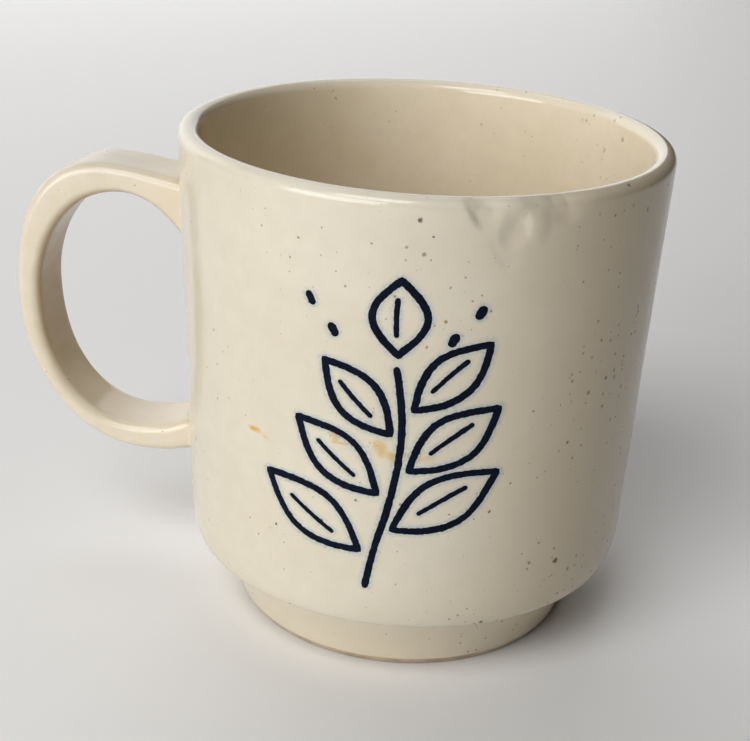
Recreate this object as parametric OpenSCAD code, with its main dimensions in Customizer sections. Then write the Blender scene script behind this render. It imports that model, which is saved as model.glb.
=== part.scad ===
// Glazed stoneware mug with a stacking shoulder, a tapered foot and a strap handle.
// Millimetres, +Z up. The origin is on the mug's axis in the plane of the foot's bare rim, and the
// handle points along -X. Each glaze coat lies on the clay beneath it, so neighbouring solids
// share a surface and nothing overlaps.

/* [Cup] */
// outside diameter across the lip, over the glaze
rim_d = 82; // [74:1:92]
// height from the table to the crest of the lip
mug_h = 85.7; // [80:0.1:100]
// thickness of the rounded lip, over both glazes
lip_t = 3.5; // [3:0.1:4.5]
// outside diameter where the straight wall starts, above the shoulder
shoulder_d = 77.6; // [74:0.2:80]
// thickness of the wall at its foot, over both glazes
wall_t = 4.2; // [3.6:0.1:5]
// height of the drinking floor over the table
floor_z = 10; // [9:0.5:12]
// radius of the curve between the drinking floor and the inside wall
floor_r = 16; // [14:1:18]

/* [Shoulder and foot] */
// height of the shoulder's flat underside over the table
shoulder_z = 12.9; // [12.5:0.1:16]
// height of the rounded edge between the shoulder's underside and the wall
shoulder_rise = 7.6; // [5:0.1:9]
// how far the same rounded edge curves inward
shoulder_in = 1.6; // [1:0.1:2]
// outside diameter of the foot directly under the shoulder
foot_top_d = 66.8; // [64:0.2:68]
// outside diameter of the foot at the table
foot_d = 58.4; // [56:0.2:60]
// radius of the hollow corner between the foot and the shoulder's underside
foot_fillet = 0.9; // [0.5:0.1:1.2]
// radius of the bare outer edge that rests on the table
foot_edge = 1.2; // [0.8:0.1:1.5]
// height of the bare clay band round the foot
bare_h = 1.6; // [1.5:0.1:2.5]
// diameter of the recess under the foot
recess_d = 47; // [44:0.5:48]
// depth of the recess under the foot, to the clay
recess_h = 4; // [3:0.5:4.5]
// radius of the curve round the recess's ceiling
recess_r = 2; // [1:0.5:2.5]

/* [Handle] */
// how far the handle stands out beyond the lip
handle_reach = 30.4; // [26:0.2:34]
// drop from the crest of the lip to the top of the handle
handle_drop = 9.9; // [8:0.1:12]
// height of the handle's lowest point over the table
handle_bottom = 22.7; // [21:0.1:26]
// width of the strap from side to side
strap_w = 12.4; // [10:0.2:16]
// thickness of the strap at its top
strap_top_t = 4.9; // [4:0.1:6]
// thickness of the strap down its outer side
strap_side_t = 4.2; // [3.6:0.1:5]
// thickness of the strap at its bottom
strap_bottom_t = 4.8; // [4:0.1:6]
// how far the upper root spreads downward where it meets the wall
upper_spread = 12.8; // [8:0.2:14]
// how far the lower root spreads upward where it meets the wall
lower_spread = 6; // [2:0.2:8]
// radius of the strap's rounded edges
strap_edge = 1.7; // [1:0.1:1.8]

/* [Glaze and decoration] */
// thickness of every glaze coat
glaze_t = 0.3; // [0.2:0.05:0.5]
// how far the decoration is turned from the front toward the side away from the handle, in degrees
motif_turn = 3; // [0:1:40]
// height of the decoration's middle over the table
motif_z = 48; // [48:0.5:49]
// width of the brush strokes
stroke_w = 1.4; // [1:0.1:1.5]
// how deep the strokes' colour has sunk into the glaze
stroke_depth = 0.15; // [0.1:0.05:0.15]

/* [Hidden] */
arc_n = 10; // steps round a small rounded corner
big_arc_n = 14; // steps round a long curve
$fn = 144;

rim_r = rim_d / 2;
lip_r = lip_t / 2;
lip_mid = rim_r - lip_r; // radius of the lip's crest line
lip_z = mug_h - lip_r;
shoulder_r = shoulder_d / 2;
foot_slope = (foot_top_d - foot_d) / 2 / shoulder_z; // inward run per unit of height
root_in = 36; // radial position, inside the wall, where both roots of the handle end
motif_h = 54; // height of the whole decoration
stem_sway = 2.4; // how far the stem sways to either side
stem_end = 0.7; // the stem's share of the decoration's height
leaf_len = 20; // length of the lowest leaves
leaf_bulge = 4.8; // half the width of a leaf
leaf_gap = 1.7; // bare glaze between the stem's middle and a leaf
leaf_tip_inset = 1.9; // length of a leaf's solid tip, in stroke widths
leaf_n = 16; // steps along one side of a leaf
vein_bow = 0.5; // how far a leaf's vein bows
reach = rim_r + handle_reach;
crest_z = mug_h - handle_drop;

// --- curves ---

function arc(c, rx, rz, a0, a1, n) =
    [for (i = [0:n]) let (a = a0 + (a1 - a0) * i / n) [c[0] + rx * cos(a), c[1] + rz * sin(a)]];

// the corner b of the path a-b-c, rounded with radius r
function corner(a, b, c, r, n) =
    let (
        u = (a - b) / norm(a - b),
        v = (c - b) / norm(c - b),
        half = acos(u * v) / 2,
        mid = (u + v) / norm(u + v),
        centre = b + mid * r / sin(half),
        p = b + u * r / tan(half) - centre,
        q = b + v * r / tan(half) - centre
    )
    [for (i = [0:n]) let (s = (90 - half) * 2 * i / n, w = 180 - 2 * half)
        centre + (sin(w - s) * p + sin(s) * q) / sin(w)];

function bezier(p, t) =
    pow(1 - t, 3) * p[0] + 3 * pow(1 - t, 2) * t * p[1] + 3 * (1 - t) * t * t * p[2] + pow(t, 3) * p[3];

// --- cup profiles, as [radius, height] ---
// "depth" is measured from the outside of the glaze into the clay.

// the foot's side, at a height
function foot_r(z, depth) =
    foot_d / 2 + foot_slope * z - depth * norm([1, foot_slope]);

// the outside, from the height z0 on the foot up to the crest of the lip
function outside(z0, depth) =
    let (
        under_z = shoulder_z + depth,
        hollow = [foot_r(under_z, depth), under_z],
        edge = [shoulder_r - shoulder_in, under_z],
        low = [foot_r(z0, depth), z0]
    )
    concat(
        [low],
        corner(low, hollow, edge, foot_fillet + depth, arc_n),
        arc([shoulder_r - shoulder_in, shoulder_z + shoulder_rise],
            shoulder_in - depth, shoulder_rise - depth, -90, 0, big_arc_n),
        arc([lip_mid, lip_z], lip_r - depth, lip_r - depth, 0, 90, arc_n)
    );

// the inside, from the crest of the lip down to the axis
function inside(depth) =
    let (
        wall = [lip_mid - lip_r + depth, lip_z],
        heel = [shoulder_r - wall_t + depth, floor_z - depth],
        centre = [0, floor_z - depth]
    )
    concat(
        arc([lip_mid, lip_z], lip_r - depth, lip_r - depth, 90, 180, arc_n),
        corner(wall, heel, centre, floor_r + depth, big_arc_n),
        [centre]
    );

// the underside, from the axis out to the bare band on the foot
function underside() =
    let (
        ceiling = [recess_d / 2, recess_h],
        inner = [recess_d / 2, 0],
        outer = [foot_r(0, glaze_t), 0],
        band = [foot_r(bare_h, glaze_t), bare_h]
    )
    concat(
        [[0, recess_h]],
        corner([0, recess_h], ceiling, inner, recess_r, arc_n),
        corner(ceiling, inner, outer, foot_edge / 2, arc_n),
        corner(inner, outer, band, foot_edge, arc_n)
    );

function reversed(p) = [for (i = [len(p) - 1:-1:0]) p[i]];

module outside_solid() {
    rotate_extrude() polygon(concat([[0, bare_h]], outside(bare_h, 0), [[0, mug_h]]));
}

// --- handle ---
// The strap is swept between an outer and an inner edge line, both drawn as four joined curves
// in the handle's own plane.

function edge_line(root_z, slope0, crest, side, base, end_z, slope1, round) = [
    [[root_in, root_z], [root_in + 5, root_z + slope0], crest - [7, 0], crest],
    [crest, crest + [round[0], 0], side + [0, round[1]], side],
    [side, side - [0, round[2]], base + [round[3], 0], base],
    [base, base - [4, 0], [root_in + 4, end_z - slope1], [root_in, end_z]]
];

outer_line = edge_line(
    crest_z - 2.7, 0.9,
    [reach - 16.4, crest_z], [reach, handle_bottom + 29.2], [reach - 24.4, handle_bottom],
    handle_bottom + 1.9, 0.9, [11.4, 14, 14.8, 16]
);

inner_line = edge_line(
    crest_z - strap_top_t - upper_spread, 6.7,
    [reach - 19.6, crest_z - strap_top_t], [reach - strap_side_t, handle_bottom + 28.6],
    [reach - 21.5, handle_bottom + strap_bottom_t],
    handle_bottom + strap_bottom_t + lower_spread, 5.4, [9.6, 9.8, 13, 11.4]
);

curve_steps = [12, 15, 15, 8]; // stations along each of the four curves
edge_steps = 5; // steps round each rounded edge of the strap

function stations(line) =
    concat(
        [for (k = [0:3]) for (i = [0:curve_steps[k] - 1]) bezier(line[k], i / curve_steps[k])],
        [line[3][3]]
    );

// the rounded section between an outer and an inner point, "skin" thick under the glaze surface
function section(o, i, skin) =
    let (
        mid = (o + i) / 2,
        up = (o - i) / norm(o - i),
        half_t = norm(o - i) / 2 - skin,
        half_w = strap_w / 2 - skin,
        r = strap_edge - skin
    )
    [for (q = [0:3]) for (s = [0:edge_steps]) let (
        a = 90 * (q + s / edge_steps),
        side = (q == 0 || q == 3) ? 1 : -1,
        top = q < 2 ? 1 : -1,
        y = side * (half_w - r) + r * cos(a),
        t = top * (half_t - r) + r * sin(a)
    ) [-(mid[0] + up[0] * t), y, mid[1] + up[1] * t]];

section_n = 4 * (edge_steps + 1);

function rings(skin) =
    let (o = stations(outer_line), i = stations(inner_line))
    [for (k = [0:len(o) - 1]) section(o[k], i[k], skin)];

function flat(rows) = [for (row = rows) for (p = row) p];

// the side quads of a swept tube whose points start at "base"; "flip" turns them to face inward
function sides(n_rings, base, flip) =
    [for (k = [0:n_rings - 2]) for (j = [0:section_n - 1]) for (half = [0, 1]) let (
        a = base + k * section_n + j,
        b = base + k * section_n + (j + 1) % section_n,
        c = a + section_n,
        d = b + section_n,
        f = half == 0 ? [a, b, d] : [a, d, c]
    ) flip ? [f[2], f[1], f[0]] : f];

// the flat ring between the inner and outer loops at one end of a tube
function cap(outer, inner, flip) =
    [for (j = [0:section_n - 1]) for (half = [0, 1]) let (
        m = (j + 1) % section_n,
        f = half == 0 ? [outer + j, inner + j, inner + m] : [outer + j, inner + m, outer + m]
    ) flip ? [f[2], f[1], f[0]] : f];

module swept_strap(skin) {
    r = rings(skin);
    last = (len(r) - 1) * section_n;
    polyhedron(
        points = flat(r),
        faces = concat(
            sides(len(r), 0, false),
            [[for (j = [section_n - 1:-1:0]) j]],
            [[for (j = [0:section_n - 1]) last + j]]
        )
    );
}

module swept_coat(skin) {
    r = rings(0);
    count = len(r) * section_n;
    last = (len(r) - 1) * section_n;
    polyhedron(
        points = concat(flat(r), flat(rings(skin))),
        faces = concat(
            sides(len(r), 0, false),
            sides(len(r), count, true),
            cap(0, count, false),
            cap(last, count + last, true)
        )
    );
}

// the outside radius of the straight wall at a height
function wall_r(z) =
    let (z0 = shoulder_z + shoulder_rise)
    shoulder_r + (rim_r - shoulder_r) * (z - z0) / (lip_z - z0);

// the height at which one curve of an edge line meets the wall
function meets_wall(curve, near_z) =
    lookup(wall_r(near_z), [for (i = [0:20]) bezier(curve, i / 20)]);

// the block that cuts a slip pad out of the glaze coat, between two heights of the handle's outline
module root_block(low, high) {
    z0 = low + glaze_t;
    tall = high - low - 2 * glaze_t;
    wide = strap_w - 2 * glaze_t;
    r = strap_edge - glaze_t;
    rotate([90, 0, -90]) linear_extrude(rim_r + 5) translate([-wide / 2, z0]) {
        translate([r, 0]) square([wide - 2 * r, tall]);
        translate([0, r]) square([wide, tall - 2 * r]);
        for (x = [r, wide - r], z = [r, tall - r]) translate([x, z]) circle(r);
    }
}

module glaze_shell() {
    rotate_extrude() polygon(concat(outside(bare_h, glaze_t), reversed(outside(bare_h, 0))));
}

// --- decoration: a leafy sprig drawn in brush strokes, in [across, up] about its middle ---

module stroke(p, w) {
    n = len(p);
    dir = [for (i = [0:n - 1]) let (d = p[min(i + 1, n - 1)] - p[max(i - 1, 0)]) d / norm(d)];
    side = [for (i = [0:n - 1]) [-dir[i][1], dir[i][0]] * w / 2];
    a_end = atan2(dir[n - 1][1], dir[n - 1][0]);
    a_start = atan2(dir[0][1], dir[0][0]);
    polygon(concat(
        [for (i = [0:n - 1]) p[i] - side[i]],
        arc(p[n - 1], w / 2, w / 2, a_end - 75, a_end + 75, 6),
        [for (i = [n - 1:-1:0]) p[i] + side[i]],
        arc(p[0], w / 2, w / 2, a_start + 105, a_start + 255, 6)
    ));
}

// the outline of a leaf that lies along +X from the origin, two bowed sides between its tips
function leaf_outline(length, bulge) = concat(
    [for (i = [0:leaf_n]) [length * i / leaf_n, bulge * sin(180 * i / leaf_n)]],
    [for (i = [leaf_n - 1:-1:1]) [length * i / leaf_n, -bulge * sin(180 * i / leaf_n)]]
);

// one leaf: a brushed outline with a vein inside it that touches nothing
module leaf(length, bulge) {
    inset = stroke_w * leaf_tip_inset;
    difference() {
        polygon(leaf_outline(length, bulge));
        translate([inset, 0]) polygon(leaf_outline(length - 2 * inset, bulge - stroke_w));
    }
    stroke([for (t = [0.3:0.05:0.7]) [length * t, vein_bow * sin(180 * t)]], stroke_w * 0.7);
}

function stem_at(t) = [stem_sway * sin(300 * t - 60), motif_h * (t - 0.5)];

module motif_drawing() {
    stroke([for (i = [0:24]) stem_at(stem_end * i / 24)], stroke_w);
    translate(stem_at(stem_end) + [0, leaf_gap]) rotate(90) leaf(motif_h * 0.25, leaf_bulge);
    for (k = [0:2], side = [-1, 1])
        let (t = 0.13 + 0.19 * k + 0.04 * side, lean = side * (56 - 6 * k))
        translate(stem_at(t)) rotate(90 - lean) translate([leaf_gap, 0])
            leaf(leaf_len - 1.6 * k, leaf_bulge - 0.3 * k);
    for (side = [-1, 1], k = [0:1])
        translate(stem_at(0.78) + [side * (9 + 3.6 * k), 1 + 4.4 * k]) circle(stroke_w * 0.8);
}

// the strokes carried through the front of the cup, and no deeper than their colour has sunk
module motif_block() {
    difference() {
        rotate([90, 0, motif_turn]) translate([0, motif_z]) linear_extrude(rim_r + 5) motif_drawing();
        rotate_extrude() polygon(concat(
            [[0, bare_h]], outside(bare_h, stroke_depth), [[0, mug_h - stroke_depth]]
        ));
    }
}

// --- the pieces ---

// fired clay cup: wall, floor, shoulder and foot
module stoneware_body() {
    color([0.80, 0.71, 0.58]) rotate_extrude()
        polygon(concat(underside(), outside(bare_h, glaze_t), inside(glaze_t)));
}

// glaze inside the cup, from the crest of the lip down
module liner_glaze() {
    color([0.88, 0.84, 0.74]) rotate_extrude()
        polygon(concat(inside(glaze_t), reversed(inside(0))));
}

// glaze outside the cup, with gaps for the slip pads and the strokes
module outer_glaze() {
    color([0.90, 0.86, 0.77]) difference() {
        glaze_shell();
        upper_block();
        lower_block();
        motif_block();
    }
}

// glaze in the recess under the foot
module base_glaze() {
    top = corner([0, recess_h], [recess_d / 2, recess_h], [recess_d / 2, 0], recess_r, arc_n);
    low = corner([0, recess_h - glaze_t], [recess_d / 2 - glaze_t, recess_h - glaze_t],
        [recess_d / 2 - glaze_t, 0], recess_r - glaze_t, arc_n);
    color([0.86, 0.81, 0.70]) rotate_extrude()
        polygon(concat([[0, recess_h]], top, reversed(low), [[0, recess_h - glaze_t]]));
}

// fired clay strap, coped to the outside of the cup
module handle() {
    color([0.78, 0.69, 0.56]) difference() {
        swept_strap(glaze_t);
        outside_solid();
    }
}

// glaze round the strap
module handle_glaze() {
    color([0.91, 0.87, 0.78]) difference() {
        swept_coat(glaze_t);
        outside_solid();
    }
}

module upper_block() {
    root_block(meets_wall(inner_line[0], crest_z), meets_wall(outer_line[0], crest_z));
}

module lower_block() {
    root_block(meets_wall(outer_line[3], handle_bottom), meets_wall(inner_line[3], handle_bottom));
}

// slip that bonds the upper root to the cup
module upper_slip_joint() {
    color([0.70, 0.60, 0.47]) intersection() {
        glaze_shell();
        upper_block();
    }
}

// slip that bonds the lower root to the cup
module lower_slip_joint() {
    color([0.70, 0.60, 0.47]) intersection() {
        glaze_shell();
        lower_block();
    }
}

// dark blue brush strokes set into the outer glaze
module brushwork_motif() {
    color([0.13, 0.19, 0.34]) intersection() {
        glaze_shell();
        motif_block();
    }
}

stoneware_body();
liner_glaze();
outer_glaze();
base_glaze();
handle();
handle_glaze();
upper_slip_joint();
lower_slip_joint();
brushwork_motif();
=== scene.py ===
"""Ceramic mug: studio scene over the CAD frame. Metres, row frame, handle along -X."""

import math

import bpy
import numpy as np
from mathutils import Matrix, Vector


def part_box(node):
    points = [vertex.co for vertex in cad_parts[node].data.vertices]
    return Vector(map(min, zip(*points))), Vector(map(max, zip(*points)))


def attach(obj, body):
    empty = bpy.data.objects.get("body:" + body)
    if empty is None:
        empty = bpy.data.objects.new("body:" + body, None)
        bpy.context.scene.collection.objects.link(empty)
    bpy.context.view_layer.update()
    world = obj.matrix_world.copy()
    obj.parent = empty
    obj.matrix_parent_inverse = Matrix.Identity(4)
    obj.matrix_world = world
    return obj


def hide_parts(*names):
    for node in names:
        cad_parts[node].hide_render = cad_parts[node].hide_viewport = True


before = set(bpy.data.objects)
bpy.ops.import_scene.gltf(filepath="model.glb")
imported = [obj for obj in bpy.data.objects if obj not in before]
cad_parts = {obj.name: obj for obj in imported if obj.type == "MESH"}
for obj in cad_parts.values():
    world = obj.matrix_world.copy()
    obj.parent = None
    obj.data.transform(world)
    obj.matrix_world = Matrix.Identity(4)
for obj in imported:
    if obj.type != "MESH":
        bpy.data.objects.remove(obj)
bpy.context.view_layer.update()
MM = 0.001

# ---------------------------------------------------------------- camera
# Distance from the mug's axis, height over the table, and direction of the lens in degrees. The
# camera stands a little toward the side away from the handle.
CAM_DISTANCE = 0.2412
CAM_HEIGHT = 0.1439
CAM_AROUND = 8.0
CAM_AIM_LEFT = 9.59
CAM_DOWN = 22.96
CAM_ROLL = 3.01
LENS_MM = 70.88
SENSOR_MM = 36


def polar(radius, around, z):
    """A point at an angle in degrees from the front (-Y) toward +X."""
    a = math.radians(around)
    return Vector((radius * math.sin(a), -radius * math.cos(a), z))


def make_camera():
    heading, pitch, roll = (math.radians(a) for a in (-CAM_AIM_LEFT, CAM_DOWN, CAM_ROLL))
    forward = Vector(
        (math.sin(heading) * math.cos(pitch), math.cos(heading) * math.cos(pitch), -math.sin(pitch))
    )
    level = Vector((math.cos(heading), -math.sin(heading), 0))
    upright = level.cross(forward)
    right = math.cos(roll) * level + math.sin(roll) * upright
    up = -math.sin(roll) * level + math.cos(roll) * upright
    data = bpy.data.cameras.new("camera")
    data.lens = LENS_MM
    data.sensor_width = SENSOR_MM
    data.clip_start = 0.01
    camera = bpy.data.objects.new("camera", data)
    bpy.context.scene.collection.objects.link(camera)
    pose = Matrix((right, up, -forward)).transposed().to_4x4()
    pose.translation = polar(CAM_DISTANCE, CAM_AROUND, CAM_HEIGHT)
    camera.matrix_world = pose
    bpy.context.scene.camera = camera


make_camera()

# ---------------------------------------------------------------- driving sizes of the mug
GLAZE_LOW, GLAZE_HIGH = (Vector(c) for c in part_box("outer_glaze"))
RIM_R = (GLAZE_HIGH.y - GLAZE_LOW.y) / 2
TOP_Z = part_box("liner_glaze")[1][2]
BARE_Z = GLAZE_LOW.z  # top of the bare clay band round the foot
LIP_R = 1.75 * MM
WALL_FOOT_R = 38.8 * MM  # where the straight wall starts
WALL_T = 4.2 * MM
FLOOR_Z, FLOOR_R = 10 * MM, 16 * MM
SHOULDER_Z, SHOULDER_RISE, SHOULDER_IN = 12.9 * MM, 7.6 * MM, 1.6 * MM
FOOT_R, FOOT_TOP_R = 29.2 * MM, 33.4 * MM
FOOT_FILLET, FOOT_EDGE = 0.9 * MM, 1.2 * MM
RECESS_R = (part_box("base_glaze")[1][0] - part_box("base_glaze")[0][0]) / 2
RECESS_H, RECESS_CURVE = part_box("base_glaze")[1][2], 2 * MM
GLAZE_T = 0.3 * MM
LIP_MID, LIP_Z = RIM_R - LIP_R, TOP_Z - LIP_R
FOOT_SLOPE = (FOOT_TOP_R - FOOT_R) / SHOULDER_Z
STRAIGHT_Z = SHOULDER_Z + SHOULDER_RISE
SHOULDER_STEPS, LIP_STEPS, HEEL_STEPS, FOOT_STEPS = 24, 14, 24, 8  # pieces per rounded corner
CREASE = 50  # edges sharper than this many degrees stay sharp


# ---------------------------------------------------------------- profiles, as rows of [radius, z]
def arc(centre, rx, rz, a0, a1, n):
    a = np.radians(np.linspace(a0, a1, n + 1))
    return np.stack([centre[0] + rx * np.cos(a), centre[1] + rz * np.sin(a)], 1)


def corner(a, b, c, r, n):
    """The corner b of the path a-b-c, rounded with radius r."""
    a, b, c = (np.asarray(p, float) for p in (a, b, c))
    u, v = (a - b) / np.linalg.norm(a - b), (c - b) / np.linalg.norm(c - b)
    half = math.acos(float(u @ v)) / 2
    centre = b + (u + v) / np.linalg.norm(u + v) * r / math.sin(half)
    p, q = b + u * r / math.tan(half) - centre, b + v * r / math.tan(half) - centre
    turn = math.pi - 2 * half
    s = np.linspace(0, turn, n + 1)[:, None]
    return centre + (np.sin(turn - s) * p + np.sin(s) * q) / math.sin(turn)


def foot_r(z, depth):
    return FOOT_R + FOOT_SLOPE * z - depth * math.hypot(1, FOOT_SLOPE)


def outside(z0, depth):
    """From z0 on the foot up to the crest of the lip, "depth" under the glaze's surface."""
    under = SHOULDER_Z + depth
    low, hollow = [foot_r(z0, depth), z0], [foot_r(under, depth), under]
    edge = [WALL_FOOT_R - SHOULDER_IN, under]
    shoulder = [WALL_FOOT_R - SHOULDER_IN, STRAIGHT_Z]
    return np.vstack([
        [low],
        corner(low, hollow, edge, FOOT_FILLET + depth, FOOT_STEPS),
        arc(shoulder, SHOULDER_IN - depth, SHOULDER_RISE - depth, -90, 0, SHOULDER_STEPS),
        arc([LIP_MID, LIP_Z], LIP_R - depth, LIP_R - depth, 0, 90, LIP_STEPS),
    ])


def inside(depth):
    """From the crest of the lip down to the axis on the drinking floor."""
    wall = [LIP_MID - LIP_R + depth, LIP_Z]
    heel = [WALL_FOOT_R - WALL_T + depth, FLOOR_Z - depth]
    centre = [0, FLOOR_Z - depth]
    return np.vstack([
        arc([LIP_MID, LIP_Z], LIP_R - depth, LIP_R - depth, 90, 180, LIP_STEPS),
        corner(wall, heel, centre, FLOOR_R + depth, HEEL_STEPS),
        [centre],
    ])


def underside():
    """The clay from the axis, round the recess, out over the foot to the glaze's lower edge."""
    ceiling, inner = [RECESS_R, RECESS_H], [RECESS_R, 0]
    outer, band = [foot_r(0, GLAZE_T), 0], [foot_r(BARE_Z, GLAZE_T), BARE_Z]
    return np.vstack([
        [[0, RECESS_H]],
        corner([0, RECESS_H], ceiling, inner, RECESS_CURVE, FOOT_STEPS),
        corner(ceiling, inner, outer, FOOT_EDGE / 2, FOOT_STEPS - 2),
        corner(inner, outer, band, FOOT_EDGE, FOOT_STEPS),
        [band],
    ])


def fill(profile, step):
    """The same path with more points, so that no two are further apart than step(z)."""
    rows = [profile[0]]
    for p, q in zip(profile[:-1], profile[1:]):
        gap = np.linalg.norm(q - p)
        if gap < 1e-9:
            continue
        n = max(1, math.ceil(gap / step((p[1] + q[1]) / 2)))
        rows += [p + (q - p) * k / n for k in range(1, n + 1)]
    return np.array(rows)


# ---------------------------------------------------------------- hand-made unevenness
def smooth(x, a, b):
    t = np.clip((x - a) / (b - a), 0, 1)
    return t * t * (3 - 2 * t)


def waves(p, size, seed):
    """Soft random hills of about that size, from -1 to 1, at points p."""
    rng = np.random.default_rng(seed)
    total = np.zeros(len(p))
    for _ in range(9):
        k = rng.normal(size=3)
        k *= 2 * math.pi / size / np.linalg.norm(k) * rng.uniform(0.6, 1.3)
        total += np.sin(p @ k + rng.uniform(0, 2 * math.pi))
    return total / 5


# Old knocks under the glaze at the lip: middle in degrees round from the front and height,
# half widths along and up the wall, and depth (negative for a raised ridge).
KNOCKS = [
    (20.8, 84.0 * MM, 4.6 * MM, 3.3 * MM, 0.46 * MM),
    (27.0, 81.4 * MM, 2.7 * MM, 3.7 * MM, 0.34 * MM),
    (32.2, 81.6 * MM, 2.4 * MM, 3.2 * MM, -0.20 * MM),
    (36.5, 84.6 * MM, 6.4 * MM, 3.6 * MM, 0.40 * MM),
    (24.0, 77.6 * MM, 5.0 * MM, 3.4 * MM, 0.09 * MM),
]
# The first knock starts sharply between these angles at the crest, and further round lower down.
# The last one fades out between the other two.
KNOCK_START, KNOCK_SLANT, KNOCK_END = (14.4, 16.4), 40, (50, 42)
KNOCK_RAGGED, KNOCK_BOWL, KNOCK_SINK = 0.16, 1.6, 0.75  # ragged rim, roundness, share the lip sinks
OUT_OF_ROUND, OVAL_TURN = 0.10 * MM, 40
BULGE, BULGE_AT, BULGE_WIDE = 0.3 * MM, -76, 26  # a low bulge high on the wall, in degrees round


def worn(p):
    """Points on the nominal cup, moved the way the real clay and glaze stray from it."""
    r = np.hypot(p[:, 0], p[:, 1])
    az = np.degrees(np.arctan2(p[:, 0], -p[:, 1]))
    height = p[:, 2]
    wall_in = LIP_MID - LIP_R
    in_wall = smooth(r, 20 * MM, 34 * MM)
    out = smooth(r, wall_in + 0.6 * MM, RIM_R - 0.5 * MM) * smooth(height, 60 * MM, 74 * MM)
    push = OUT_OF_ROUND * np.sin(np.radians(2 * az + OVAL_TURN)) * smooth(height, 15 * MM, 80 * MM)
    push += (0.05 * MM * waves(p, 34 * MM, 1) + 0.018 * MM * waves(p, 9 * MM, 2)) * in_wall
    bulge = np.exp(-((az - BULGE_AT) / BULGE_WIDE) ** 2) * smooth(height, 45 * MM, 80 * MM)
    push += BULGE * bulge * in_wall
    dent = np.zeros(len(p))
    ragged = KNOCK_RAGGED * waves(p, 4 * MM, 4)
    for middle, z, along, up, deep in KNOCKS:
        s = np.radians(az - middle) * RIM_R / along
        t = (height - z) / up
        q = np.clip(s * s + t * t + ragged, 0, 1)
        dent += deep * (1 - q) ** KNOCK_BOWL
    slant = (TOP_Z - height) / RIM_R * KNOCK_SLANT
    dent *= smooth(az - slant, *KNOCK_START) * smooth(az, *KNOCK_END)
    scale = 1 + (push - dent * out) / np.maximum(r, 1 * MM)
    moved = p.copy()
    moved[:, :2] *= scale[:, None]
    moved[:, 2] += 0.06 * MM * waves(p, 45 * MM, 3) * smooth(height, 70 * MM, 85 * MM)
    lip = smooth(height, 83.4 * MM, 85.4 * MM) * smooth(r, wall_in + 0.6 * MM, LIP_MID + 1.2 * MM)
    moved[:, 2] -= KNOCK_SINK * dent * lip
    return moved


# ---------------------------------------------------------------- mesh building
def new_mesh(name, points, faces, sharp=None):
    mesh = bpy.data.meshes.new(name)
    mesh.from_pydata(np.asarray(points).tolist(), [], faces)
    mesh.validate()
    mesh.update()
    mesh.shade_smooth()
    if sharp:
        mesh.set_sharp_from_angle(angle=math.radians(sharp))
    piece = bpy.data.objects.new(name, mesh)
    bpy.context.scene.collection.objects.link(piece)
    return piece


def add_attribute(piece, name, values):
    layer = piece.data.attributes.new(name, "FLOAT", "POINT")
    layer.data.foreach_set("value", np.asarray(values, np.float32))


def around_steps():
    """Angles round the cup, closer together where the drawing and the knocks are."""
    coarse, fine, finest = 1.5, 0.5, 0.25
    drawing, knocks = (-34, 48), (14, 44)
    angles = [-180.0]
    while True:
        a = angles[-1]
        step = finest if knocks[0] <= a < knocks[1] else fine if drawing[0] <= a < drawing[1] else coarse
        if a + step > 180 - coarse / 2:
            return np.array(angles)
        angles.append(a + step)


ANGLES = around_steps()


def lathe(name, profile, closed):
    """A profile turned about the axis and worn. Rows at the axis shrink to one point."""
    points, rows = [], []
    for r, z in profile:
        if r < 1e-6:
            rows.append([len(points)])
            points.append((0, 0, z))
        else:
            rows.append(list(range(len(points), len(points) + len(ANGLES))))
            a = np.radians(ANGLES)
            points += list(zip(r * np.sin(a), -r * np.cos(a), np.full(len(a), z)))
    faces = []
    n = len(ANGLES)
    for low, high in zip(rows, rows[1:] + (rows[:1] if closed else [])):
        for j in range(n):
            k = (j + 1) % n
            if len(low) == 1:
                faces.append((low[0], high[k], high[j]))
            elif len(high) == 1:
                faces.append((low[j], low[k], high[0]))
            else:
                faces.append((low[j], low[k], high[k], high[j]))
    nominal = np.array(points)
    return new_mesh(name, worn(nominal), faces, CREASE), nominal


LIP_BAND_Z, DRAWING_Z = 76 * MM, 19 * MM  # the rows are closer together above these heights


def outer_step(z):
    return (0.3 if z > LIP_BAND_Z else 0.42 if z > DRAWING_Z else 0.8) * MM


def coarse_step(z):
    return 2.2 * MM if z < LIP_BAND_Z else 0.5 * MM


def wall_r(z):
    """Radius of the straight wall, over the glaze."""
    return WALL_FOOT_R + (RIM_R - WALL_FOOT_R) * (z - STRAIGHT_Z) / (LIP_Z - STRAIGHT_Z)


# ---------------------------------------------------------------- cup
cup_profile = np.vstack([
    fill(underside(), lambda z: 2 * MM),
    fill(outside(BARE_Z, GLAZE_T), coarse_step)[1:],
    fill(inside(GLAZE_T), coarse_step)[1:],
])
cup, _ = lathe("stoneware_cup", cup_profile, False)
outer_profile = np.vstack([
    fill(outside(BARE_Z, 0), outer_step),
    fill(outside(BARE_Z, GLAZE_T)[::-1], coarse_step),
])
outer_coat, outer_nominal = lathe("outer_glaze_coat", outer_profile, True)
liner_profile = np.vstack([fill(inside(GLAZE_T), coarse_step)[::-1], fill(inside(0), coarse_step)])
liner, _ = lathe("liner_glaze_coat", liner_profile, False)


def recess_skin(depth):
    middle, edge = [0, RECESS_H - depth], [RECESS_R - depth, RECESS_H - depth]
    curve = corner(middle, edge, [RECESS_R - depth, 0], RECESS_CURVE - depth, FOOT_STEPS)
    return np.vstack([[middle], curve])


base_profile = np.vstack([recess_skin(GLAZE_T), recess_skin(0)[::-1]])
base_coat, _ = lathe("base_glaze_coat", base_profile, False)


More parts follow.
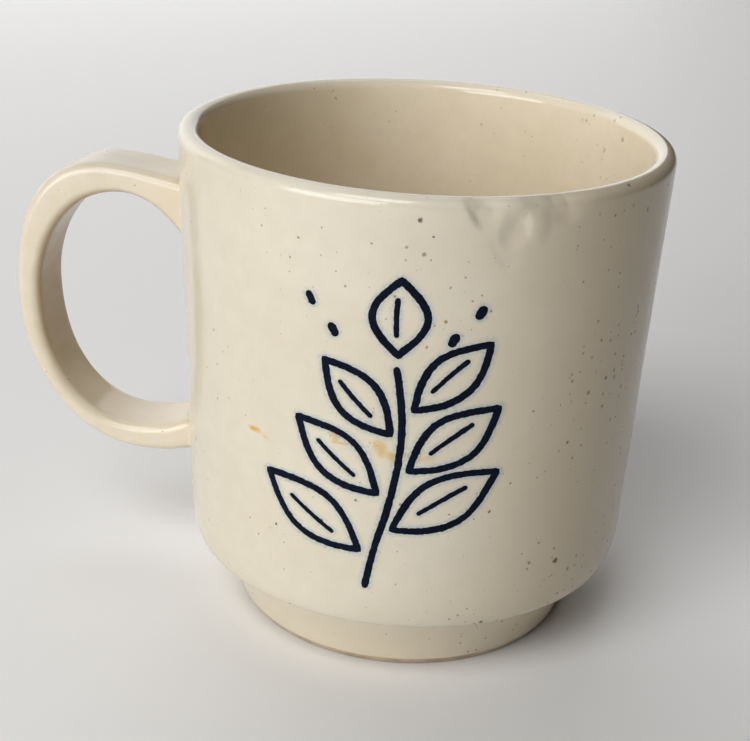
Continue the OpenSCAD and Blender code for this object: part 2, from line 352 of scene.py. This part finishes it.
# ---------------------------------------------------------------- handle
REACH = -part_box("handle_glaze")[0][0]
CREST_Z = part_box("handle_glaze")[1][2]
BOTTOM_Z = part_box("handle_glaze")[0][2]
STRAP_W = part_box("handle_glaze")[1][1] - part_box("handle_glaze")[0][1]
ROOT_IN = 37.5 * MM  # the strap ends inside the wall at this radius
STRAP_TOP_T, STRAP_SIDE_T, STRAP_BOTTOM_T = 4.9 * MM, 4.2 * MM, 4.8 * MM
STRAP_EDGE = 1.75 * MM
ROOT_FILLET = 1.1 * MM
ROOT_STOP = 1.5 * MM  # how deep in the wall the strap's ends stop
CURVE_RINGS = [60, 60, 60, 40]
CORNER_STEPS, FLAT_STEPS = 8, 8


def edge_line(root_z, slope0, crest, side, base, end_z, slope1, reach):
    """Four joined curves in the handle's plane, as [distance out, z], all in millimetres: from the
    upper root over the crest, the outermost point (side) and the lowest (base) to the lower root.
    "reach" is how far the curves run straight past the three points."""
    crest, side, base = (np.array(p, float) for p in (crest, side, base))
    start = ROOT_IN / MM - 1.5
    return [
        np.array([[start, root_z], [start + 5, root_z + slope0], crest - [7, 0], crest]),
        np.array([crest, crest + [reach[0], 0], side + [0, reach[1]], side]),
        np.array([side, side - [0, reach[2]], base + [reach[3], 0], base]),
        np.array([base, base - [4, 0], [start + 4, end_z - slope1], [start, end_z]]),
    ]


def along(line):
    rows = []
    for curve, n in zip(line, CURVE_RINGS):
        t = np.linspace(0, 1, n, endpoint=False)[:, None]
        a, b, c, d = curve
        u = 1 - t
        rows.append(u**3 * a + 3 * u**2 * t * b + 3 * u * t * t * c + t**3 * d)
    return np.vstack([*rows, line[-1][3:]]) * MM


def strap(depth):
    """The strap's skin, "depth" under its glaze's surface: points in rings along it, and per point
    the distance out from the wall, how far it is toward the outer side, and how level it lies."""
    reach, crest, low = REACH / MM, CREST_Z / MM, BOTTOM_Z / MM
    top_t, side_t, base_t = STRAP_TOP_T / MM, STRAP_SIDE_T / MM, STRAP_BOTTOM_T / MM
    outer = edge_line(crest - 2.7, 0.9, [reach - 16.4, crest], [reach, low + 29.2],
                      [reach - 24.4, low], low + 1.9, 0.9, [11.4, 14, 14.8, 16])
    inner = edge_line(crest - top_t - 12.8, 6.7, [reach - 19.6, crest - top_t],
                      [reach - side_t, low + 28.6], [reach - 21.5, low + base_t],
                      low + base_t + 6, 5.4, [9.6, 9.8, 13, 11.4])
    o, i = along(outer), along(inner)
    mid, across = (o + i) / 2, o - i
    thick = np.linalg.norm(across, axis=1)
    up = across / thick[:, None]
    points, facing, n = [], [], 0
    for k in range(len(o)):
        half_w, half_t = STRAP_W / 2 - depth, thick[k] / 2 - depth
        r = min(STRAP_EDGE, thick[k] * 0.45) - depth
        loop = []
        for q, (sy, st) in enumerate([(1, 1), (-1, 1), (-1, -1), (1, -1)]):
            a = np.radians(np.linspace(90 * q, 90 * q + 90, CORNER_STEPS + 1))
            loop += list(zip(sy * (half_w - r) + r * np.cos(a), st * (half_t - r) + r * np.sin(a)))
            if q % 2 == 0:
                edge = np.linspace(loop[-1][0], -sy * (half_w - r), FLAT_STEPS + 1)[1:-1]
                loop += [(y, st * half_t) for y in edge]
            else:
                edge = np.linspace(loop[-1][1], -st * (half_t - r), FLAT_STEPS // 2 + 1)[1:-1]
                loop += [(sy * half_w, t) for t in edge]
        loop = np.array(loop)
        n = len(loop)
        for y, t in loop:
            spot = mid[k] + up[k] * t
            points.append((-spot[0], y, spot[1]))
            facing.append((t / half_t, up[k][1]))
    points = np.array(points)
    # the glaze gathers in a small fillet where the strap meets the wall
    clear = np.hypot(points[:, 0], points[:, 1]) - wall_r(points[:, 2])
    near = np.clip(clear, 0, ROOT_FILLET)
    grow = ROOT_FILLET - np.sqrt(ROOT_FILLET**2 - (ROOT_FILLET - near) ** 2)
    centres = np.repeat(np.stack([-mid[:, 0], np.zeros(len(mid)), mid[:, 1]], 1), n, 0)
    away = points - centres
    away /= np.linalg.norm(away, axis=1)[:, None]
    points = points + away * grow[:, None]
    wander = 0.12 * MM * waves(points, 16 * MM, 5) + 0.035 * MM * waves(points, 5 * MM, 6)
    points += away * wander[:, None]
    # the strap's ends stop inside the clay wall, following its curve
    out = np.hypot(points[:, 0], points[:, 1])
    stop = wall_r(points[:, 2]) - ROOT_STOP
    points[:, :2] *= np.maximum(stop / out, 1)[:, None]
    side, rise = np.array(facing).T
    return points.reshape(len(o), n, 3), clear, side, rise


def tube_faces(rows, n, first=0):
    """Faces round a tube of rings of n points, looking outward."""
    return [(first + k * n + j, first + (k + 1) * n + j, first + (k + 1) * n + (j + 1) % n,
             first + k * n + (j + 1) % n) for k in range(rows - 1) for j in range(n)]


def make_handle_core():
    rings, *_ = strap(GLAZE_T)
    rows, n, _ = rings.shape
    last = (rows - 1) * n
    faces = tube_faces(rows, n) + [tuple(range(n)), tuple(range(last, last + n))[::-1]]
    return new_mesh("stoneware_handle", rings.reshape(-1, 3), faces)


def make_handle_coat():
    """The glaze as a shell: its outer skin, its inner skin and the two rings that join them."""
    outer, clear, side, rise = strap(0)
    inner, *_ = strap(GLAZE_T)
    rows, n, _ = outer.shape
    total = rows * n
    faces = tube_faces(rows, n) + [face[::-1] for face in tube_faces(rows, n, total)]
    for j in range(n):
        a, b = j, (j + 1) % n
        faces.append((a, b, total + b, total + a))
        a, b = a + total - n, b + total - n
        faces.append((b, a, total + a, total + b))
    points = np.vstack([outer.reshape(-1, 3), inner.reshape(-1, 3)])
    piece = new_mesh("handle_glaze_coat", points, faces)
    # Painted shade: the inner face along the strap's lower half is tinted brown; the glaze pooled at the
    # roots is tinted amber.
    inner_shade = 0.8 * smooth(-side, 0.6, 1.0) * smooth(rise, -0.85, -0.2)
    pooled = 0.45 * smooth(clear, 3.0 * MM, 0.4 * MM) * smooth(side * rise, 0.45, 0.95)
    add_attribute(piece, "inner_shade", np.tile(inner_shade, 2))
    add_attribute(piece, "pooled", np.tile(pooled, 2))
    return piece


handle_core = make_handle_core()
handle_coat = make_handle_coat()

# ---------------------------------------------------------------- brushwork
# A leafy sprig in brush strokes, as [across, up] from its middle, carried straight onto the wall.
MOTIF_TURN, MOTIF_Z, MOTIF_H = 3.0, 48 * MM, 54 * MM
STROKE_W = 1.45 * MM
VEIN_W, DAB_W = STROKE_W * 0.7, STROKE_W * 1.15
STEM_END, STEM_SWAY, STEM_PARTS = 0.7, 2.4 * MM, 240
LEAF_LEN, LEAF_BULGE, LEAF_GAP = 20 * MM, 4.8 * MM, 1.7 * MM


def stem_at(t):
    return np.array([STEM_SWAY * math.sin(math.radians(300 * t - 60)), MOTIF_H * (t - 0.5)])


def turned(path, degrees, origin):
    a = math.radians(degrees)
    return path @ np.array([[math.cos(a), math.sin(a)], [-math.sin(a), math.cos(a)]]) + origin


def leaf(length, bulge):
    """The middle line of a leaf's outline, closed, and of its vein."""
    t = np.linspace(0, 1, 111)
    rise = (bulge - STROKE_W / 2) * np.sin(math.pi * t)
    run = 0.8 * MM + (length - 1.6 * MM) * t
    outline = np.vstack([np.stack([run, rise], 1), np.stack([run, -rise], 1)[-2:0:-1]])
    v = np.linspace(0.3, 0.7, 46)
    vein = np.stack([length * v, 0.5 * MM * np.sin(math.pi * v)], 1)
    return outline, vein


def sprig():
    """Every stroke: its middle line, its width and whether it closes on itself."""
    stem = np.array([stem_at(STEM_END * i / STEM_PARTS) for i in range(STEM_PARTS + 1)])
    strokes = [(stem, STROKE_W, False)]
    # leaves: place along the stem, angle, lift, gap to the stem, length and bulge
    spots = [(STEM_END, 90, np.array([0, LEAF_GAP]), 0, MOTIF_H * 0.25, LEAF_BULGE)]
    for k in range(3):
        for side in (-1, 1):
            t = 0.13 + 0.19 * k + 0.04 * side
            angle = 90 - side * (56 - 6 * k)
            length, bulge = LEAF_LEN - 1.6 * MM * k, LEAF_BULGE - 0.3 * MM * k
            spots.append((t, angle, np.zeros(2), LEAF_GAP, length, bulge))
    for t, angle, lift, gap, length, bulge in spots:
        outline, vein = leaf(length, bulge)
        origin = stem_at(t) + lift
        strokes.append((turned(outline + [gap, 0], angle, origin), STROKE_W, True))
        strokes.append((turned(vein + [gap, 0], angle, origin), VEIN_W, False))
    for side in (-1, 1):  # two short dabs on each side of the top leaf
        for k in range(2):
            spot = stem_at(0.78) + np.array([side * (9 + 3.6 * k), 1 + 4.4 * k]) * MM
            short = np.linspace(-0.35, 0.35, 7)[:, None] * MM * np.array([[0.5 * side, 1.0]])
            strokes.append((spot + short, DAB_W, False))
    return strokes


def on_wall(flat, lift):
    """Points [across, up] of the drawing, on the worn glaze, raised by lift."""
    z = MOTIF_Z + flat[:, 1]
    r = wall_r(z)
    az = np.arcsin(flat[:, 0] / r) + math.radians(MOTIF_TURN)
    nominal = np.stack([r * np.sin(az), -r * np.cos(az), z], 1)
    moved = worn(nominal)
    moved[:, :2] *= (1 + lift / np.hypot(moved[:, 0], moved[:, 1]))[:, None]
    return moved


STROKE_PROUD, STROKE_DIP, END_DIP = 0.022 * MM, 0.075 * MM, 0.05 * MM
STROKE_COLUMNS, CAP_STEPS = 11, 6
# Raggedness of the strokes' sides: share of the width, size of the waves, and random draw.
STROKE_RAGS = [(0.13, 9 * MM, 10), (0.05, 2.4 * MM, 11), (0.09, 0.8 * MM, 12), (0.08, 0.42 * MM, 13)]


def brush(path, width, closed, seed):
    """A ragged stroke along the path: it just stands over the glaze, dips into it at its edges and
    closes flat underneath."""
    ahead = np.roll(path, -1, 0) if closed else np.vstack([path[1:], path[-1:]])
    behind = np.roll(path, 1, 0) if closed else np.vstack([path[:1], path[:-1]])
    way = ahead - behind
    way /= np.linalg.norm(way, axis=1)[:, None]
    if not closed:  # round ends
        caps = np.sin(np.radians(np.linspace(0, 90, CAP_STEPS + 1)[1:]))[::-1]
        start = path[0] - way[0] * (width / 2 * caps)[:, None]
        end = path[-1] + way[-1] * (width / 2 * caps[::-1])[:, None]
        taper = np.sqrt(np.maximum(1 - caps**2, 0.0009))
        full = np.ones(len(path))
        path = np.vstack([start, path, end])
        way = np.vstack([np.repeat(way[:1], CAP_STEPS, 0), way, np.repeat(way[-1:], CAP_STEPS, 0)])
        taper = np.concatenate([taper, full, taper[::-1]])
    else:
        taper = np.ones(len(path))
    side = np.stack([-way[:, 1], way[:, 0]], 1)
    spread = np.hstack([path, np.full((len(path), 1), seed * 7 * MM)])
    u = np.linspace(-1, 1, STROKE_COLUMNS)
    halves = []
    for left in (-1, 1):
        rag = np.ones(len(path))
        for amount, size, draw in STROKE_RAGS:
            rag += amount * waves(spread + left, size, draw)
        halves.append(width / 2 * taper * rag)
    half = np.where(u[None, :] < 0, halves[0][:, None], halves[1][:, None])
    flat = path[:, None, :] + side[:, None, :] * (half * u[None, :])[:, :, None]
    lift = STROKE_PROUD - STROKE_DIP * u**6
    lift = np.repeat(lift[None, :], len(path), 0) - (END_DIP * (1 - taper) ** 2)[:, None]
    points = on_wall(flat.reshape(-1, 2), lift.reshape(-1))
    n, m = len(u), len(path)
    faces = [(k * n + (j + 1) % n, k * n + j, (k + 1) % m * n + j, (k + 1) % m * n + (j + 1) % n)
             for k in range(m if closed else m - 1) for j in range(n)]
    if not closed:
        faces += [tuple(range(n)), tuple((m - 1) * n + j for j in range(n))[::-1]]
    edge = np.repeat(np.abs(u)[None, :], m, 0)
    edge = np.maximum(edge, 1 - taper[:, None])
    return points, faces, edge.reshape(-1)


def make_motif():
    points, faces, edges = [], [], []
    for seed, (path, width, closed) in enumerate(sprig()):
        p, f, e = brush(path, width, closed, seed)
        base = sum(len(q) for q in points)
        points.append(p)
        faces += [tuple(base + i for i in face) for face in f]
        edges.append(e)
    piece = new_mesh("brushwork_strokes", np.vstack(points), faces)
    add_attribute(piece, "edge", np.concatenate(edges))
    return piece


motif = make_motif()


def bleed():
    """How near each point of the outer glaze is to a stroke: 1 under it, 0 well away from it."""
    p = outer_nominal
    az = np.arctan2(p[:, 0], -p[:, 1]) - math.radians(MOTIF_TURN)
    flat = np.stack([np.hypot(p[:, 0], p[:, 1]) * np.sin(az), p[:, 2] - MOTIF_Z], 1)
    near = (np.abs(az) < 0.8) & (np.abs(flat[:, 1]) < MOTIF_H / 2 + 3 * MM)
    best = np.full(len(p), 1.0)
    spots = flat[near]
    distance = np.full(len(spots), 1.0)
    for path, width, _ in sprig():
        gap = np.sqrt(((spots[:, None, :] - path[None, ::2, :]) ** 2).sum(2)).min(1) - width / 2
        distance = np.minimum(distance, gap)
    best[near] = distance
    return 1 - smooth(best, -0.1 * MM, 0.75 * MM)


add_attribute(outer_coat, "bleed", bleed())

# Old tea-coloured marks in the glaze: middle in degrees round from the front and height, half
# widths along and up the wall, and strength.
MARKS = [
    (-29.6, 43.7 * MM, 2.0 * MM, 0.45 * MM, 1.0),
    (-26.5, 42.9 * MM, 1.2 * MM, 0.30 * MM, 0.5),
    (-8.6, 46.9 * MM, 1.5 * MM, 0.55 * MM, 0.8),
    (-7.0, 45.6 * MM, 1.7 * MM, 0.40 * MM, 0.7),
    (2.0, 45.6 * MM, 1.2 * MM, 1.5 * MM, 0.7),
    (4.6, 44.2 * MM, 1.8 * MM, 0.9 * MM, 0.8),
    (9.5, 44.6 * MM, 3.4 * MM, 0.8 * MM, 0.45),
]


def marks():
    az = np.degrees(np.arctan2(outer_nominal[:, 0], -outer_nominal[:, 1]))
    z = outer_nominal[:, 2]
    rough = 0.5 * waves(outer_nominal, 1.6 * MM, 31)
    total = np.zeros(len(z))
    for middle, height, along, up, strength in MARKS:
        s = np.radians(az - middle) * RIM_R / along
        t = (z - height) / up + 0.4 * s
        total = np.maximum(total, strength * smooth(s * s + t * t + rough, 1.4, 0.1))
    return total


add_attribute(outer_coat, "marks", marks())


# ---------------------------------------------------------------- materials
class Look:
    """A node material built one node at a time."""

    def __init__(self, name, viewport):
        self.material = bpy.data.materials.new(name)
        self.material.use_nodes = True
        self.material.diffuse_color = (*viewport, 1)
        self.tree = self.material.node_tree
        self.shader = self.tree.nodes["Principled BSDF"]
        coords = self.tree.nodes.new("ShaderNodeTexCoord")
        self.place = coords.outputs["Object"]

    def node(self, kind, inputs=(), **settings):
        n = self.tree.nodes.new("ShaderNode" + kind)
        for key, value in settings.items():
            setattr(n, key, value)
        for key, value in dict(inputs).items():
            self.put(n.inputs[key], value)
        return n

    def put(self, socket, value):
        if isinstance(value, bpy.types.NodeSocket):
            self.tree.links.new(value, socket)
        else:
            socket.default_value = value

    def noise(self, size, detail=3, roughness=0.55, offset=0):
        move = (offset, offset / 2, -offset)
        shifted = self.node("Mapping", {"Vector": self.place, "Location": move})
        return self.node("TexNoise", {
            "Vector": shifted.outputs[0], "Scale": 1 / size, "Detail": detail, "Roughness": roughness,
        }).outputs["Fac"]

    def ramp(self, value, low, high, to_low=0.0, to_high=1.0):
        return self.node("MapRange", {
            "Value": value, "From Min": low, "From Max": high, "To Min": to_low, "To Max": to_high,
        }, interpolation_type="SMOOTHSTEP").outputs["Result"]

    def math(self, operation, a, b):
        return self.node("Math", {0: a, 1: b}, operation=operation).outputs[0]

    def vector(self, operation, inputs):
        return self.node("VectorMath", inputs, operation=operation).outputs[0]

    def axis(self, number):
        return self.node("SeparateXYZ", {0: self.place}).outputs[number]

    def mix(self, factor, a, b, blend="MIX"):
        n = self.node("Mix", data_type="RGBA", blend_type=blend)
        for socket, value in ((n.inputs[0], factor), (n.inputs[6], a), (n.inputs[7], b)):
            if not isinstance(value, (bpy.types.NodeSocket, float)):
                value = (*value, 1)
            self.put(socket, value)
        return n.outputs[2]

    def specks(self, cell, widest, seed, soft=0.5, density=None):
        """Round specks of random size, the widest of that radius, one to a cell at most."""
        move = (seed, seed * 0.7, seed * 0.3)
        shifted = self.node("Mapping", {"Vector": self.place, "Location": move})
        wobble = self.node("TexNoise", {"Vector": self.place, "Scale": 1 / widest, "Detail": 2})
        wobble = self.vector("ADD", {0: wobble.outputs["Color"], 1: (-0.5, -0.5, -0.5)})
        wobble = self.vector("SCALE", {0: wobble, 3: widest * 1.3})
        moved = self.vector("ADD", {0: shifted.outputs[0], 1: wobble})
        cells = self.node("TexVoronoi", {"Vector": moved, "Scale": 1 / cell})
        chance = self.node("SeparateColor", {0: cells.outputs["Color"]}).outputs[0]
        size = self.math("POWER", chance, 2.5)
        if density is not None:
            size = self.math("MULTIPLY", size, density)
        size = self.math("MULTIPLY", size, widest / cell)
        inner = self.math("MULTIPLY", size, 1 - soft)
        return self.node("MapRange", {
            "Value": cells.outputs["Distance"], "From Min": inner, "From Max": size,
            "To Min": 1.0, "To Max": 0.0,
        }).outputs["Result"]

    def attribute(self, name):
        return self.node("Attribute", attribute_name=name).outputs["Fac"]

    def bump(self, height, distance, strength=1.0):
        n = self.node("Bump", {"Height": height, "Distance": distance, "Strength": strength})
        self.put(self.shader.inputs["Normal"], n.outputs[0])

    def set(self, **values):
        for key, value in values.items():
            self.put(self.shader.inputs[key.replace("_", " ")], value)


# Tints of the glaze, as linear colours, and of the iron specks in it.
# The lip tint is a painted highlight on the crest of the lip.
LIP_HIGHLIGHT_CREAM = (0.76, 0.70, 0.58)
# The flank tint is painted shade on the +X side, away from the lamps; the foot tint is a warmer tone
# toward the foot.
FLANK_PAINTED_SHADE, FOOT_CREAM = (0.54, 0.43, 0.28), (0.55, 0.45, 0.31)
TEA, BLED_BLUE = (0.60, 0.345, 0.07), (0.24, 0.35, 0.40)
# The brown is painted shade for the handle's inner face; the amber is glaze pooled at the roots.
INNER_SHADE_BROWN, POOLED_AMBER = (0.43, 0.31, 0.17), (0.47, 0.385, 0.21)
FINE_IRON, MIDDLING_IRON, LARGE_IRON = (0.22, 0.13, 0.06), (0.10, 0.06, 0.03), (0.10, 0.05, 0.02)
GLAZE_IOR = 1.52
GLOSS = (0.10, 0.19)  # least and most roughness
DIMPLE, DIMPLE_STRENGTH = 0.02 * MM, 0.8


def glaze(name, pale, warm, bleed_marks_and_shade=False, handle_shade_and_pool=False, faint=1.0):
    """Cream glaze with iron specks. The first flag adds the drawing's halo, the tea marks, painted shade
    on the +X flank and a warmer tint toward the foot; the second adds painted shade on the handle's
    inner face and the pooled places; "faint" scales the specks."""
    look = Look(name, pale)
    tone = look.ramp(look.noise(22 * MM, 4, 0.6, 3), 0.35, 0.68)
    colour = look.mix(tone, pale, warm)
    thick = look.ramp(look.noise(3.2 * MM, 3, 0.6, 9), 0.3, 0.7)
    colour = look.mix(look.math("MULTIPLY", thick, 0.22), colour, tuple(0.86 * c for c in warm))
    across, height = look.axis(0), look.axis(2)
    # Painted highlight: a paler band along the crest of the lip.
    lip = look.ramp(height, TOP_Z - 1.6 * MM, TOP_Z - 0.4 * MM, 0.0, 0.5)
    colour = look.mix(lip, colour, LIP_HIGHLIGHT_CREAM)
    if bleed_marks_and_shade:
        # Painted shade on the +X flank, away from the lamps; then a warmer tint toward the foot.
        colour = look.mix(look.ramp(across, 8 * MM, 36 * MM, 0.0, 0.6), colour, FLANK_PAINTED_SHADE)
        colour = look.mix(look.ramp(height, 15 * MM, 4 * MM, 0.0, 0.4), colour, FOOT_CREAM)
        patchy = look.ramp(look.noise(1.5 * MM, 4, 0.7, 4), 0.25, 0.5)
        colour = look.mix(look.math("MULTIPLY", look.attribute("marks"), patchy), colour, TEA)
        grain = look.ramp(look.noise(0.5 * MM, 3, 0.75), 0.32, 0.68, 0.12, 0.75)
        colour = look.mix(look.math("MULTIPLY", look.attribute("bleed"), grain), colour, BLED_BLUE)
    if handle_shade_and_pool:
        # Painted shade on the handle's inner face, then the amber of glaze pooled at the roots.
        colour = look.mix(look.attribute("inner_shade"), colour, INNER_SHADE_BROWN)
        colour = look.mix(look.attribute("pooled"), colour, POOLED_AMBER)
    crowd = look.ramp(look.noise(15 * MM, 2, 0.5, 21), 0.38, 0.66, 0.35, 1.3)
    crowd = look.math("MULTIPLY", crowd, look.ramp(across, -30 * MM, 30 * MM, 0.75, 1.35))
    fine = look.specks(1.25 * MM, 0.28 * MM, 0.0, 0.5, crowd)
    middling = look.specks(2.6 * MM, 0.39 * MM, 1.7, 0.45, crowd)
    large = look.specks(10 * MM, 0.55 * MM, 3.1, 0.55)
    for speck, strength, iron in (
        (fine, 0.75, FINE_IRON), (middling, 0.9, MIDDLING_IRON), (large, 0.8, LARGE_IRON),
    ):
        colour = look.mix(look.math("MULTIPLY", speck, strength * faint), colour, iron)
    dull = 0.06 if handle_shade_and_pool else 0.0
    rough = look.ramp(look.noise(6 * MM, 3, 0.6, 5), 0.3, 0.7, GLOSS[0] + dull, GLOSS[1] + dull)
    look.set(Base_Color=colour, IOR=GLAZE_IOR, Roughness=rough)
    dimple = look.math("ADD", look.noise(2.6 * MM, 2), look.math("MULTIPLY", middling, -0.35))
    look.bump(dimple, DIMPLE, DIMPLE_STRENGTH)
    return look.material


def clay(name, pale, dark):
    look = Look(name, pale)
    colour = look.mix(look.ramp(look.noise(5 * MM, 4), 0.3, 0.7), pale, dark)
    grit = look.specks(1.1 * MM, 0.16 * MM, 0.4)
    colour = look.mix(look.math("MULTIPLY", grit, 0.8), colour, (0.06, 0.035, 0.02))
    look.set(Base_Color=colour, Roughness=0.88)
    look.bump(look.noise(0.6 * MM, 4, 0.7), 0.06 * MM)
    return look.material


def stain(name):
    look = Look(name, (0.01, 0.02, 0.06))
    thin_edge = look.ramp(look.attribute("edge"), 0.6, 1.0)
    blot = look.ramp(look.noise(1.4 * MM, 4, 0.6, 2), 0.35, 0.7)
    navy, paler = (0.0015, 0.003, 0.010), (0.003, 0.008, 0.026)
    colour = look.mix(look.math("MULTIPLY", blot, 0.6), navy, paler)
    colour = look.mix(look.math("MULTIPLY", thin_edge, 0.5), colour, (0.012, 0.035, 0.075))
    look.set(Base_Color=colour, Roughness=0.16, IOR=GLAZE_IOR, Specular_IOR_Level=0.08)
    look.bump(look.noise(2.6 * MM, 2), DIMPLE, DIMPLE_STRENGTH)
    return look.material


def dress(piece, material, body_slot, *nodes):
    piece.data.materials.clear()
    piece.data.materials.append(material)
    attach(piece, "root")
    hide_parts(*nodes)


bare_clay = clay("bare_stoneware", (0.46, 0.36, 0.25), (0.34, 0.25, 0.16))
slip_clay = clay("fired_slip", (0.50, 0.40, 0.29), (0.40, 0.31, 0.21))
outer_glaze = glaze("cream_glaze", (0.655, 0.595, 0.475), (0.63, 0.565, 0.44), bleed_marks_and_shade=True)
# The liner's cream is paler and brighter than the outer glaze's: partly its own tone, partly painted
# light inside the cup.
liner_glaze = glaze("liner_cream_glaze", (0.83, 0.73, 0.56), (0.80, 0.695, 0.51), faint=0.5)
handle_glaze = glaze("handle_cream_glaze", (0.68, 0.60, 0.47), (0.645, 0.555, 0.415), handle_shade_and_pool=True)
blue_stain = stain("blue_stain")

dress(cup, bare_clay, "stoneware", "stoneware_body")
dress(outer_coat, outer_glaze, "glaze", "outer_glaze")
dress(liner, liner_glaze, "glaze", "liner_glaze")
dress(base_coat, liner_glaze, "glaze", "base_glaze")
dress(handle_core, bare_clay, "stoneware", "handle")
dress(handle_coat, handle_glaze, "glaze", "handle_glaze")
dress(motif, blue_stain, "blue_stain", "brushwork_motif")
for name in ("upper_slip_joint", "lower_slip_joint"):
    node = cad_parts[name]
    node.data.materials.clear()
    node.data.materials.append(slip_clay)


# ---------------------------------------------------------------- floor and light
FLOOR_HALF = 3.0
DAYLIGHT, WHITE, PALE = (0.98, 0.99, 1.0), (0.99, 0.99, 1.0), (1.0, 0.99, 0.98)
ROOM, ROOM_STRENGTH = (1.0, 0.76, 0.52, 1), 0.01


def make_floor():
    h = FLOOR_HALF
    mesh = bpy.data.meshes.new("floor")
    mesh.from_pydata([(-h, -h, 0), (h, -h, 0), (h, h, 0), (-h, h, 0)], [], [(0, 1, 2, 3)])
    floor = bpy.data.objects.new("floor", mesh)
    bpy.context.scene.collection.objects.link(floor)
    look = Look("pale_table", (0.78, 0.77, 0.75))
    look.set(Base_Color=(0.88, 0.872, 0.86, 1), Roughness=0.6)
    mesh.materials.append(look.material)


def area_light(name, around, height, distance, width, tall, power, colour, target=(0, 0, 0.04)):
    """A soft panel at an angle round from the camera's side of the mug, turned to the target."""
    data = bpy.data.lights.new(name, "AREA")
    data.shape = "RECTANGLE"
    data.size, data.size_y = width, tall
    data.energy = power
    data.color = colour
    light = bpy.data.objects.new(name, data)
    bpy.context.scene.collection.objects.link(light)
    light.location = polar(distance, CAM_AROUND + around, height)
    aim = Vector(target) - light.location
    light.rotation_mode = "QUATERNION"
    light.rotation_quaternion = aim.to_track_quat("-Z", "Y")


make_floor()
area_light("window", around=-41, height=0.45, distance=1.6, width=1.3, tall=0.95, power=21.5,
           colour=DAYLIGHT)
area_light("high_window", around=-28, height=1.45, distance=1.2, width=0.95, tall=0.8, power=12.5,
           colour=DAYLIGHT)
area_light("pale_wall", around=-156, height=0.40, distance=0.9, width=1.4, tall=0.8, power=4.4,
           colour=WHITE)
area_light("backdrop", around=-165, height=1.10, distance=0.6, width=0.9, tall=0.6, power=2.4,
           colour=PALE, target=(-0.2, 0.45, 0))
world = bpy.data.worlds.new("studio")
world.use_nodes = True
background = world.node_tree.nodes["Background"]
background.inputs["Color"].default_value = ROOM
background.inputs["Strength"].default_value = ROOM_STRENGTH
scene = bpy.context.scene
scene.world = world
scene.view_settings.view_transform = "Standard"
